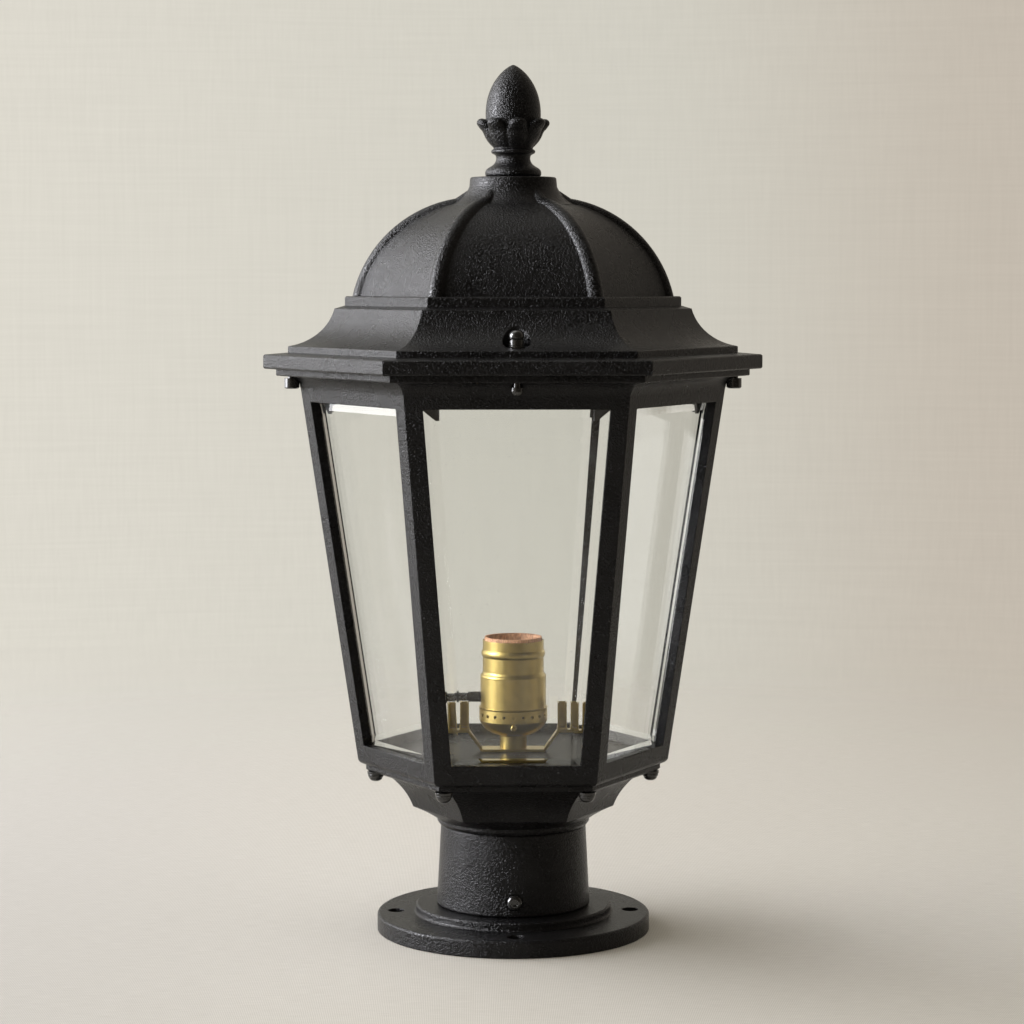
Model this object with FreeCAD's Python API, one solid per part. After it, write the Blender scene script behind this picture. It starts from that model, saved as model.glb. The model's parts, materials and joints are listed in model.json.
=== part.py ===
import FreeCAD, Part
import math
import os

# Hexagonal pier-mount lantern, in millimetres.
# The origin is on the lantern's axis at the underside of its flange. +Z is up, the front face looks along -Y,
# and two of the six corners lie on the X axis.

V = FreeCAD.Vector
UP = V(0, 0, 1)
SIDES = 6
STEP = 360 / SIDES
CORNERS = [k * STEP for k in range(SIDES)]
FACES = [(k + 0.5) * STEP for k in range(SIDES)]
FRONT = 270
BACK = 90
ROUND = math.cos(math.radians(STEP / 2))

# Clearances
thread_gap = 0.05
hole_gap = 0.3
slip_gap = 0.4
glass_gap = 0.3
turn_gap = 0.07

# Pier flange
flange_r = 72.0
flange_h = 8.8
flange_edge = 1.5
flange_wall = 4.2
flange_land = 20.5
ring_r = flange_r - flange_land
ring_rise = 4.5
spigot_r = 35.6
spigot_wall = 3.0
spigot_rise = 32.7
bolt_edge = 10.0
bolt_circle_r = flange_r - bolt_edge
bolt_hole_r = 4.4
bolt_boss_r = 7.5
bolt_count = 4

# Post fitter
fitter_h = 42.9
fitter_wall = 2.3
fitter_taper = 2.1
fitter_head_r = spigot_r + slip_gap + fitter_wall
fitter_foot_r = fitter_head_r + fitter_taper
fitter_lip = 0.9
fitter_web = 4.7
wire_hole_inset = 15.6
wire_hole_r = spigot_r - wire_hole_inset
set_screw_rise = 8.1
set_screw_count = 3
set_screw_r = 2.5
set_screw_head_r = 4.0
set_screw_head_h = 3.4
set_screw_sink = 0.6
fitter_screw_inset = 9.6
fitter_screw_circle_r = spigot_r - fitter_screw_inset
fitter_screw_r = 2.4
fitter_screw_head_r = 4.2
fitter_screw_head_h = 2.8

# Cage foot, which the base pan follows
cage_foot_r = 81.65
cage_foot_round = 2.4
cage_foot_inset = 3.7

# Base pan
pan_neck_lip = 1.9
pan_neck_r = fitter_head_r + pan_neck_lip
pan_neck_round = 1.0
pan_neck_h = 3.1
pan_cone_h = 5.1
pan_cove_h = 17.9
pan_cove_inset = 13.55
pan_cove_r = cage_foot_r - pan_cove_inset
pan_cove_out = 15.1
pan_foot_r = pan_cove_r - pan_cove_out
pan_cove_mid_in = 0.34
pan_cove_mid_up = 0.51
pan_lip_rise = 1.0
pan_lip_round = 1.2
pan_flange_inset = 3.85
pan_flange_r = cage_foot_r - pan_flange_inset
pan_flange_h = 3.7
pan_floor = 5.0
pan_floor_inset = 1.0
pan_floor_r = pan_neck_r - pan_floor_inset
pan_wall = 3.4
pan_rim_w = 7.9
pan_stud_inset = 8.95
pan_stud_circle_r = cage_foot_r - pan_stud_inset
pan_stud_r = 2.0
pan_stud_bite = 4.2
cap_nut_r = 4.5
cap_nut_h = 5.2
cap_nut_washer_h = 1.3
nut_groove = 0.3

# Cage head and wall, which the roof and its screws follow
cage_head_r = 111.5
cage_head_a = cage_head_r * ROUND
cage_wall = 5.0
sill_h = 11.0
window_h = 181.0
head_rail_h = 6.5
stile_w = 9.0
ledge_h = 5.5
cove_h = 7.0
cove_out = 11.3
crown_step = 1.7
crown_r = cage_head_r + cove_out + crown_step
crown_h = 3.7
crown_nose = 0.5
top_flange_h = 5.2
top_flange_w = 12.2
top_flange_r = cage_head_r - top_flange_w

# Glass
glass_t = 3.5
glass_lap = 4.2
glass_bevel_w = 8.4
glass_bevel_drop = 1.5

# Glass clips
clip_t = 1.2
clip_reach = 16.0
clip_drop = 5.8
clip_half_w = 9.6
clip_tip_w = 1.0
clip_waist_half_w = 3.4
clip_waist_drop = 0.8
clip_screw_drop = 3.2
clip_screw_r = 1.5
clip_screw_head_r = 2.8
clip_screw_head_h = 1.8
clip_screw_bite = 7.0
clip_boss_r = 9.0
clip_boss_gap = 1.0

# Floor plate
plate_t = 2.0
plate_inset = 11.35
plate_r = cage_foot_r - plate_inset
plate_lap = 12.3
ledge_hole_r = plate_r - plate_lap
plate_screw_inset = 5.9
plate_screw_from_axis = plate_r * ROUND - plate_screw_inset
plate_screw_r = 1.9
plate_screw_head_r = 3.2
plate_screw_head_h = 2.5
plate_skin = 0.6

# Roof
brim_out = 6.7
brim_r = crown_r + brim_out
brim_h = 7.5
brim_edge = 0.7
brim_slope = 1.0
brim_ledge = 13.0
fillet_r = brim_r - brim_ledge
fillet_h = 3.4
fillet_edge = 0.4
sweep_in = 24.4
sweep_top_r = fillet_r - sweep_in
sweep_h = 19.6
sweep_bulge_in = 15.0
sweep_bulge_r = fillet_r - sweep_bulge_in
sweep_bulge_rise = 6.0
step_in = 5.5
step_r = sweep_top_r - step_in
step_ledge_rise = 1.6
step_h = 4.9
step_edge = 0.7
dome_in = 5.9
dome_foot_r = step_r - dome_in
dome_bulge_r = 0.7876 * dome_foot_r
dome_bulge_rise = 31.3
dome_head_r = 0.45 * dome_foot_r
dome_h = 47.6
rib_r = 4.4
rib_proud = 1.9
rib_head_r = 3.0
rib_head_bite = 3.0
roof_wall = 3.5
roof_hollow_lap = 1.7
roof_hollow_r = top_flange_r + roof_hollow_lap
stud_inset = 5.06
stud_from_axis = cage_head_a - stud_inset
stud_r = 2.0
niche_r = 6.9
niche_sink = 0.6
boss_wall = 2.6
acorn_r = 4.0
acorn_h = 9.6
acorn_washer_r = 5.2
acorn_washer_h = 1.0
cove_screw_out = 4.24
cove_screw_from_axis = cage_head_a + cove_screw_out
cove_screw_r = 1.8
cove_screw_head_r = 3.2
cove_screw_head_h = 3.7
cove_screw_sink = 6.2
brim_screw_bite = 6.0
corner_screw_out = 4.7
corner_screw_circle_r = cage_head_r + corner_screw_out
corner_screw_r = 2.2
corner_screw_head_r = 4.0
corner_screw_head_h = 5.4
corner_screw_sink = 5.0

# Collar, which carries the finial
finial_base_r = 14.8
collar_land = 7.8
collar_r = finial_base_r + collar_land
collar_h = 4.9
collar_lip = 0.6
collar_cove_out = 10.2
collar_cove_r = collar_r + collar_cove_out
collar_cove_h = 9.6
collar_web = 5.0

# Finial
finial_base_h = 5.5
finial_neck_r = 8.9
finial_neck_h = 4.7
finial_bead_r = 10.9
finial_bead_h = 2.9
finial_bead_round = 0.5
finial_cup_h = 16.6
finial_egg_r = 14.4
finial_egg_h = 26.5
finial_tip_r = 0.8
leaf_count = 8
leaf_turn = 8.0
leaf_h = 12.3
leaf_tip_r = 18.9
leaf_curl_r = 3.2
leaf_curl_half_w = 4.2
leaf_back_r = 15.6
leaf_round = 5.6
finial_stud_r = 3.0
finial_stud_bite = 12.0
finial_nut_flat = 10.0
finial_nut_h = 5.0
finial_washer_r = 9.0
finial_washer_h = 1.2

# Lamp holder
nipple_r = 4.9
nipple_bore_r = 3.4
nipple_up = 8.0
nipple_down = 9.5
nipple_nut_flat = 14.0
nipple_nut_h = 3.2
nipple_washer_r = 9.0
nipple_washer_h = 1.2
saddle_t = 1.4
saddle_w = 12.0
saddle_arm_w = 6.4
saddle_flat = 16.3
saddle_knee = 23.4
saddle_rise = 9.9
prong_inner_x = 25.8
prong_outer_x = 32.7
prong_w = 4.7
prong_depth = 6.0
prong_wall = 0.8
prong_toe_h = 2.6
prong_h = 14.4
neck_r = 7.05
neck_h = 7.3
sheet = 0.6
bowl_h = 7.8
cap_hole_count = 22
cap_hole_r = 0.85
cap_hole_rise = 3.2
cap_screw_r = 1.1
cap_screw_head_r = 1.7
cap_screw_head_h = 0.9
cap_screw_drop = 2.2
body_r = 14.0
body_h = 24.0
body_chamfer = 5.5
screw_shell_bore_r = 13.25
screw_shell_wall = 0.45
screw_shell_h = 21.0
liner_gap = 0.5
liner_wall = 0.9
liner_r = screw_shell_bore_r + screw_shell_wall + liner_gap + liner_wall
liner_proud = 1.7
liner_drop = 36.0
shell_wall = 0.45
shell_gap = 0.55
shell_up_r = liner_r + shell_gap + shell_wall
shell_step = 1.2
shell_low_r = shell_up_r + shell_step
shell_shoulder_rise = 23.0
shell_shoulder_h = 3.0
shell_h = 42.3
bead_out = 0.7
bead_r = shell_up_r + bead_out
bead_rise = 33.4
bead_h = 4.0
contact_r = 3.6
contact_t = 0.5
contact_rise = 2.2
contact_pin_r = 1.2
contact_pin_h = 3.0
terminal_screw_r = 1.6
terminal_screw_head_r = 2.6
terminal_screw_head_h = 1.8
terminal_rise = 3.0
terminal_depth = 4.5

# Cap rim, which grips the shell's foot
cap_rim_out = 0.65
cap_rim_r = shell_low_r + cap_rim_out
cap_rim_h = 7.0

# Switch knob, with x measured outwards from the axis
knob_rise = 12.1
sleeve_r = 2.7
sleeve_end_x = 23.9
sleeve_bite = 2.0
knob_shaft_r = 1.6
knob_shaft_bite = 8.0
knob_neck_r = 2.15
knob_neck_end_x = 28.8
knob_disc_r = 3.0
knob_disc_t = 1.1
knob_grip_r = 2.1
knob_grip_end_x = 33.6
knob_tip_edge = 0.4
knob_flute_count = 10
knob_flute_r = 0.3

# Earth terminal
ground_screw_r = 2.0
ground_screw_head_r = 3.6
ground_screw_gap = 0.8
earth_circle_r = pan_floor_r * ROUND - ground_screw_head_r - ground_screw_gap
ground_screw_head_h = 2.4
ground_screw_bite = 3.5

# Heights of the joints between the castings
ring_top = flange_h + ring_rise
fitter_top = ring_top + fitter_h
pan_foot = fitter_top + pan_neck_h + pan_cone_h
pan_cove_top = pan_foot + pan_cove_h
pan_lip = pan_cove_top + pan_lip_rise
cage_foot = pan_lip + pan_flange_h
ledge_top = cage_foot + ledge_h
window_foot = cage_foot + sill_h
window_head = window_foot + window_h
cove_foot = window_head + head_rail_h
crown_foot = cove_foot + cove_h
cage_top = crown_foot + crown_h
top_flange_foot = cage_top - top_flange_h
glass_foot = ledge_top + glass_gap
glass_head = window_head + glass_lap
brim_top = cage_top + brim_h
sweep_foot = brim_top + brim_slope + fillet_h
sweep_top = sweep_foot + sweep_h
step_foot = sweep_top + step_ledge_rise
dome_foot = step_foot + step_h
dome_head = dome_foot + dome_h
collar_cove_foot = dome_head
collar_foot = collar_cove_foot + collar_cove_h
collar_top = collar_foot + collar_h
plate_top = ledge_top + plate_t
neck_foot = plate_top + saddle_t
bowl_foot = neck_foot + neck_h
rim_foot = bowl_foot + bowl_h
body_foot = bowl_foot + 2 * sheet
body_top = body_foot + body_h
knob_z = rim_foot + knob_rise


def apothem(corner_r):
    return corner_r * ROUND


# Outer apothem of the cage's sloping wall at a height
def wall_a(z):
    slope = (cage_head_r - cage_foot_r) / (cove_foot - cage_foot)
    return apothem(cage_foot_r + slope * (z - cage_foot))


def polar(r, degrees, z=0.0):
    turn = math.radians(degrees)
    return V(r * math.cos(turn), r * math.sin(turn), z)


def turned_by(shape, degrees):
    copy = shape.copy()
    copy.rotate(V(0, 0, 0), UP, degrees)
    return copy


def placed(shape, at, towards):
    copy = shape.copy()
    copy.Placement = FreeCAD.Placement(at, FreeCAD.Rotation(UP, towards))
    return copy


def fused(shapes):
    first = shapes[0]
    return first.fuse(shapes[1:]).removeSplitter() if len(shapes) > 1 else first


def group(shapes):
    return Part.makeCompound(shapes)


# A point is (r, z). An arc is (r, z, r, z): through its first point, to its second.
def path(points, x=0.0, side=1, plane="XZ"):
    def at(p):
        return V(side * p[0], 0, p[1]) if plane == "XZ" else V(x, side * p[0], p[1])

    edges = []
    here = points[0]
    for p in points[1:]:
        end = p[-2:]
        if len(p) == 4:
            edges.append(Part.Arc(at(here), at(p[:2]), at(end)).toShape())
        else:
            edges.append(Part.makeLine(at(here), at(end)))
        here = end
    return edges


def turned(points):
    face = Part.Face(Part.Wire(path(points + [points[0]])))
    return face.revolve(V(0, 0, 0), UP, 360)


def tube(outer, inner, z0, z1):
    return turned([(inner, z0), (outer, z0), (outer, z1), (inner, z1)])


def rod(r, z0, z1):
    return Part.makeCylinder(r, z1 - z0, V(0, 0, z0))


def prism(sides, r, z0, z1, start=0.0):
    ring = [polar(r, start + k * 360 / sides, z0) for k in range(sides + 1)]
    return Part.Face(Part.makePolygon(ring)).extrude(V(0, 0, z1 - z0))


# A six-sided solid whose faces all have the same half outline: (apothem, z), from its foot to its head
def moulding(points):
    reach = 1.5 * max(p[0] for p in points)
    low, high = points[0], points[-1][-2:]
    right = path(points, -reach, 1, "YZ")
    left = path(points, -reach, -1, "YZ")
    foot = Part.makeLine(V(-reach, -low[0], low[1]), V(-reach, low[0], low[1]))
    head = Part.makeLine(V(-reach, -high[0], high[1]), V(-reach, high[0], high[1]))
    wire = Part.Wire(Part.__sortEdges__(right + left + [foot, head]))
    bar = Part.Face(wire).extrude(V(2 * reach, 0, 0))
    solid = bar
    for turn in (STEP, 2 * STEP):
        solid = solid.common(turned_by(bar, turn))
    return solid


# Pan or button head at the origin, flat side down, its shank running down from it, with a hexagonal socket
def screw(head_r, head_h, shank_r, length, domed=True):
    if domed:
        brow = 0.35 * head_h
        side = [(head_r, 0), (head_r, brow), (0.86 * head_r, 0.8 * head_h, 0.55 * head_r, head_h)]
    else:
        brow = 0.88 * head_h
        side = [(head_r, 0), (head_r, brow), (head_r - head_h + brow, head_h)]
    head = turned([(0, 0)] + side + [(0, head_h)])
    socket = prism(SIDES, 0.42 * head_r, 0.45 * head_h, 2 * head_h)
    return fused([head.cut(socket), rod(shank_r, -length, 0)])


# Closed nut at the origin, seat down, with a blind hole
def cap_nut(r, h, bore_r, bore_depth, collar_h):
    belt = collar_h + 0.35 * (h - collar_h)
    neck_r, belt_r = 0.84 * r, 0.92 * r
    crown = turned([
        (0, 0), (r, 0), (r, collar_h), (neck_r, collar_h), (neck_r, collar_h + nut_groove),
        (belt_r, collar_h + nut_groove), (belt_r, belt), (neck_r, belt + nut_groove),
        (0.66 * r, h - 0.16 * r, 0.3 * r, h), (0, h),
    ])
    return crown.cut(rod(bore_r, -1, bore_depth))


def hex_nut(flats, h, bore_r):
    return prism(SIDES, flats / 2 / ROUND, 0, h).cut(rod(bore_r, -1, h + 1))


def washer(r, bore_r, h):
    return tube(r, bore_r, 0, h)


def pier_flange():
    edge = flange_edge
    nub = ring_rise / 3
    spigot_top = ring_top + spigot_rise
    disc = turned([
        (0, 0), (flange_r, 0), (flange_r, flange_h - edge),
        (flange_r - 0.3 * edge, flange_h - 0.3 * edge, flange_r - edge, flange_h),
        (ring_r + nub, flange_h), (ring_r + 0.3 * nub, flange_h + 0.3 * nub, ring_r, flange_h + nub),
        (ring_r, ring_top - nub / 2), (ring_r - nub / 2, ring_top),
        (spigot_r, ring_top), (spigot_r, spigot_top), (0, spigot_top),
    ])
    hollow = turned([
        (spigot_r + flange_wall, -1), (flange_r - flange_wall, -1),
        (flange_r - flange_wall, flange_h - flange_wall),
        (ring_r - flange_wall, flange_h - flange_wall), (ring_r - flange_wall, ring_top - flange_wall),
        (spigot_r + flange_wall, ring_top - flange_wall),
    ])
    bosses = [rod(bolt_boss_r, 0, flange_h - edge / 2) for _ in range(bolt_count)]
    for k, boss in enumerate(bosses):
        boss.translate(polar(bolt_circle_r - flange_wall / 2, k * 360 / bolt_count))
    body = fused([disc.cut(hollow)] + [boss.common(disc) for boss in bosses])
    for k in range(bolt_count):
        hole = rod(bolt_hole_r, -1, flange_h + ring_rise)
        hole.translate(polar(bolt_circle_r, k * 360 / bolt_count))
        body = body.cut(hole)
    return body.cut(rod(spigot_r - spigot_wall, -1, spigot_top + 1))


def set_screw_angles():
    return [FRONT + k * 360 / set_screw_count for k in range(set_screw_count)]


def fitter_r(z):
    return fitter_foot_r + (fitter_head_r - fitter_foot_r) * (z - ring_top) / fitter_h


def set_screw_seat():
    return fitter_r(ring_top + set_screw_rise) - set_screw_sink


def post_fitter():
    z = ring_top + set_screw_rise
    lip = fitter_lip
    tube_wall = turned([
        (0, ring_top), (fitter_foot_r - lip, ring_top), (fitter_foot_r, ring_top + lip),
        (fitter_head_r, fitter_top - lip), (fitter_head_r - lip, fitter_top), (0, fitter_top),
    ])
    body = tube_wall.cut(rod(spigot_r + slip_gap, ring_top - 1, fitter_top - fitter_web))
    body = body.cut(rod(wire_hole_r, ring_top, fitter_top + 1))
    for angle in set_screw_angles():
        out = polar(1, angle)
        seat = set_screw_seat()
        bore = Part.makeCylinder(set_screw_r + thread_gap, flange_r, V(0, 0, z), out)
        spot = Part.makeCylinder(set_screw_head_r + hole_gap, flange_r, out * seat + V(0, 0, z), out)
        body = body.cut(bore).cut(spot)
        hole = rod(fitter_screw_r + thread_gap, fitter_top - 2 * fitter_web, fitter_top + 1)
        hole.translate(polar(fitter_screw_circle_r, angle))
        body = body.cut(hole)
    return body


def fitter_set_screws():
    length = set_screw_seat() - spigot_r - thread_gap
    one = screw(set_screw_head_r, set_screw_head_h, set_screw_r, length)
    z = ring_top + set_screw_rise
    return group([placed(one, polar(set_screw_seat(), a, z), polar(1, a)) for a in set_screw_angles()])


def fitter_screws():
    length = fitter_web + pan_floor - 0.5
    one = screw(fitter_screw_head_r, fitter_screw_head_h, fitter_screw_r, length)
    seat = fitter_top - fitter_web
    return group([placed(one, polar(fitter_screw_circle_r, a, seat), -UP) for a in set_screw_angles()])


def ring_wire(r, z, round_one):
    pts = [polar(r, a, z) for a in CORNERS + CORNERS[:1]]
    if not round_one:
        return Part.makePolygon(pts)
    edges = []
    for k in range(SIDES):
        edges.append(Part.Arc(pts[k], polar(r, (k + 0.5) * STEP, z), pts[k + 1]).toShape())
    return Part.Wire(edges)


def base_pan():
    neck_top = fitter_top + pan_neck_h
    foot_a, cove_a, flange_a = apothem(pan_foot_r), apothem(pan_cove_r), apothem(pan_flange_r)
    cove_mid = (foot_a + pan_cove_mid_in * (cove_a - foot_a), pan_foot + pan_cove_mid_up * pan_cove_h)
    upper = moulding([
        (foot_a, pan_foot), cove_mid + (cove_a, pan_cove_top), (flange_a - 1.25 * pan_lip_round, pan_lip),
        (flange_a, pan_lip + pan_lip_round), (flange_a, cage_foot),
    ])
    round_wire, six_sided_wire = ring_wire(pan_neck_r, neck_top, True), ring_wire(pan_foot_r, pan_foot, False)
    cone = Part.makeLoft([round_wire, six_sided_wire], True, True)
    neck = turned([
        (0, fitter_top), (pan_neck_r - pan_neck_round, fitter_top),
        (pan_neck_r, neck_top - 1.6 * pan_neck_round), (pan_neck_r, neck_top), (0, neck_top),
    ])
    floor_top = fitter_top + pan_floor
    inner_foot = foot_a - pan_wall
    inner_head = cove_a - pan_wall - pan_lip_rise
    inner_mid = inner_foot + pan_cove_mid_in * (inner_head - inner_foot)
    inner_top = pan_lip + 0.5 * pan_lip_rise
    rim_a = flange_a - pan_rim_w
    hollow = moulding([
        (apothem(pan_floor_r), floor_top), (inner_foot, pan_foot + 0.1 * pan_cove_h),
        (inner_mid, pan_foot + 1.1 * pan_cove_mid_up * pan_cove_h, inner_head, inner_top),
        (rim_a, inner_top), (rim_a, cage_foot + 1),
    ])
    body = fused([upper, cone, neck]).cut(hollow)
    body = body.cut(rod(wire_hole_r, fitter_top - 1, cage_foot))
    for angle in CORNERS:
        body = body.cut(upright(cap_nut_r + hole_gap, pan_stud_circle_r, angle, pan_lip - cap_nut_h, pan_lip))
        body = body.cut(upright(pan_stud_r + hole_gap, pan_stud_circle_r, angle, pan_foot, cage_foot + 1))
    for angle in set_screw_angles():
        reach = fitter_screw_r + thread_gap
        body = body.cut(upright(reach, fitter_screw_circle_r, angle, fitter_top - 1, cage_foot))
    reach = ground_screw_r + thread_gap
    return body.cut(upright(reach, earth_circle_r, BACK, floor_top - ground_screw_bite, cage_foot))


def pan_studs():
    foot, top = pan_lip - 0.6 * cap_nut_h, cage_foot + pan_stud_bite
    return group([upright(pan_stud_r, pan_stud_circle_r, a, foot, top) for a in CORNERS])


def pan_cap_nuts():
    one = cap_nut(cap_nut_r, cap_nut_h, pan_stud_r + thread_gap, 0.6 * cap_nut_h + 0.1, cap_nut_washer_h)
    return group([placed(one, polar(pan_stud_circle_r, a, pan_lip), -UP) for a in CORNERS])


def ground_screw():
    length = ground_screw_bite - hole_gap
    one = screw(ground_screw_head_r, ground_screw_head_h, ground_screw_r, length, domed=False)
    return placed(one, polar(earth_circle_r, BACK, fitter_top + pan_floor), UP)


# A point on the cage's sloping face that looks along +X, sideways from its middle line and behind its outside
def on_face(sideways, z, depth):
    return V(wall_a(z) - depth, sideways, z)


# A closed outline on that face between two heights. Its half width is a function of the height.
def face_outline(half_width, z0, z1, depth):
    corners = [(-1, z0), (1, z0), (1, z1), (-1, z1), (-1, z0)]
    return Part.makePolygon([on_face(side * half_width(z), z, depth) for side, z in corners])


def window_half(z):
    return wall_a(z) * math.tan(math.radians(STEP / 2)) - stile_w


def cage_frame():
    foot_a, head_a, crown_a = wall_a(cage_foot), wall_a(cove_foot), apothem(crown_r)
    round_top = cage_foot + cage_foot_round
    cove_a = apothem(cove_out)
    outer = moulding([
        (foot_a - cage_foot_inset, cage_foot),
        (foot_a - 0.3 * cage_foot_inset, cage_foot + 0.3 * cage_foot_round, wall_a(round_top), round_top),
        (head_a, cove_foot), (head_a + 0.29 * cove_a, cove_foot + 0.71 * cove_h, head_a + cove_a, crown_foot),
        (crown_a - crown_nose, crown_foot), (crown_a, crown_foot + crown_nose), (crown_a, cage_top),
    ])
    inner = moulding([
        (wall_a(ledge_top) - cage_wall, ledge_top), (wall_a(top_flange_foot) - cage_wall, top_flange_foot),
    ])
    body = outer.cut(inner)
    body = body.cut(prism(SIDES, ledge_hole_r, cage_foot - 1, ledge_top + 1))
    body = body.cut(prism(SIDES, top_flange_r, top_flange_foot - 1, cage_top + 1))
    boss_foot = glass_head + clip_boss_gap
    boss_ring = prism(SIDES, crown_r, boss_foot, top_flange_foot).common(outer)
    boss_ring = boss_ring.cut(prism(SIDES, clip_corner_r(), glass_head, top_flange_foot + 1))
    bosses = []
    for angle in CORNERS:
        keep = upright(clip_boss_r, clip_corner_r() + cage_wall, angle, glass_head, cage_top)
        bosses.append(boss_ring.common(keep))
    body = fused([body] + bosses)
    for angle in FACES:
        inside = face_outline(window_half, window_foot, window_head, 2 * cage_wall)
        outside = face_outline(window_half, window_foot, window_head, -cage_wall)
        body = body.cut(turned_by(Part.makeLoft([inside, outside], True, True), angle))
    for angle in CORNERS:
        top = cage_foot + pan_stud_bite + hole_gap
        body = body.cut(upright(pan_stud_r + thread_gap, pan_stud_circle_r, angle, cage_foot - 1, top))
        body = body.cut(clip_bore(angle, clip_screw_r + thread_gap, clip_screw_bite))
    for angle in plate_screw_angles():
        reach = plate_screw_r + thread_gap
        body = body.cut(upright(reach, plate_screw_from_axis, angle, cage_foot - 1, ledge_top + 1))
    above = cage_top + 1
    for angle in (FRONT, BACK):
        seat, out = cage_top - cove_screw_sink, cove_screw_from_axis
        body = body.cut(upright(stud_r + thread_gap, stud_from_axis, angle, top_flange_foot - 1, above))
        body = body.cut(upright(cove_screw_r + hole_gap, out, angle, cove_foot, above))
        body = body.cut(upright(cove_screw_head_r + hole_gap, out, angle, cove_foot, seat))
    for angle in (0, 180):
        seat, out = cage_top - corner_screw_sink, corner_screw_circle_r
        body = body.cut(upright(corner_screw_r + hole_gap, out, angle, cove_foot, above))
        body = body.cut(upright(corner_screw_head_r + hole_gap, out, angle, cove_foot - 1, seat))
    return body


def upright(r, from_axis, angle, z0, z1):
    post = rod(r, z0, z1)
    post.translate(polar(from_axis, angle))
    return post


# Glass: a slab with a wide bevel round its outer face
def pane_half(z):
    return (wall_a(z) - cage_wall - glass_t) * math.tan(math.radians(STEP / 2)) - glass_gap


def glass_pane(angle):
    def inset_half(z):
        return pane_half(z) - glass_bevel_w

    back = face_outline(pane_half, glass_foot, glass_head, cage_wall + glass_t)
    belt = face_outline(pane_half, glass_foot, glass_head, cage_wall + glass_bevel_drop)
    low, high = glass_foot + glass_bevel_w, glass_head - glass_bevel_w
    front = face_outline(inset_half, low, high, cage_wall)
    slab = Part.makeLoft([back, belt], True, True)
    bevel = Part.makeLoft([belt, front], True, True)
    return turned_by(slab.fuse(bevel).removeSplitter(), angle)


# Clips: bent plates at the inner top corners, each with one screw into the cage's boss
def clip_z():
    return top_flange_foot - clip_screw_drop


def clip_corner_r():
    return (wall_a(glass_head + clip_boss_gap) - cage_wall - glass_t) / ROUND


def clip_seat_r():
    return min((wall_a(window_head - clip_drop) - cage_wall - glass_t) / ROUND, clip_corner_r() - thread_gap)


def clip_bore(angle, r, length):
    start = polar(clip_corner_r() - 1, angle, clip_z())
    return Part.makeCylinder(r, length + 1, start, polar(1, angle))


def glass_clip(angle):
    z0 = window_head - clip_drop
    z1 = top_flange_foot - thread_gap
    seat_r = clip_seat_r()
    outer = prism(SIDES, seat_r, z0, z1)
    inner = prism(SIDES, seat_r - clip_t / ROUND, z0 - 1, z1 + 1)
    waist_z = window_head - clip_waist_drop
    low = [(clip_waist_half_w, waist_z), (clip_half_w - clip_tip_w, z0), (clip_half_w, z0), (clip_half_w, z1)]
    ends = low + [(-y, z) for y, z in reversed(low)]
    points = [V(seat_r - clip_reach / 2, y, z) for y, z in ends]
    keep = Part.Face(Part.makePolygon(points + [points[0]])).extrude(V(clip_reach, 0, 0))
    plate = turned_by(outer.cut(inner).common(keep), angle)
    shim_outer = prism(SIDES, clip_corner_r() - thread_gap, glass_head + clip_boss_gap, z1)
    shim_inner = prism(SIDES, seat_r - thread_gap, glass_head, z1 + 1)
    narrow = Part.makeBox(clip_reach, clip_reach, z1, V(seat_r - clip_reach / 2, -clip_reach / 2, 0))
    shim = turned_by(shim_outer.cut(shim_inner).common(narrow), angle)
    body = fused([plate, shim]) if shim.Volume > 1 else plate
    start = polar(seat_r - clip_reach, angle, clip_z())
    return body.cut(Part.makeCylinder(clip_screw_r + hole_gap, 2 * clip_reach, start, polar(1, angle)))


def clip_screws():
    across_bend = clip_screw_head_r * math.tan(math.radians(STEP / 2))
    seat_r = clip_seat_r() - clip_t / ROUND - across_bend - thread_gap
    length = clip_corner_r() + clip_screw_bite - 1 - seat_r
    one = screw(clip_screw_head_r, clip_screw_head_h, clip_screw_r, length)
    return group([placed(one, polar(seat_r, a, clip_z()), polar(-1, a)) for a in CORNERS])


def plate_screw_angles():
    return FACES[0::2]


def floor_plate():
    plate = prism(SIDES, plate_r, ledge_top, plate_top)
    for angle in plate_screw_angles():
        reach, top = plate_screw_r + thread_gap, plate_top - plate_skin
        plate = plate.cut(upright(reach, plate_screw_from_axis, angle, cage_foot, top))
    return plate.cut(rod(nipple_r + thread_gap, cage_foot, plate_top + 1))


def floor_plate_screws():
    length = plate_top - plate_skin - cage_foot - hole_gap
    one = screw(plate_screw_head_r, plate_screw_head_h, plate_screw_r, length)
    return group([placed(one, polar(plate_screw_from_axis, a, cage_foot), -UP) for a in plate_screw_angles()])


def niche_floor():
    return sweep_foot - niche_sink


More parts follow.
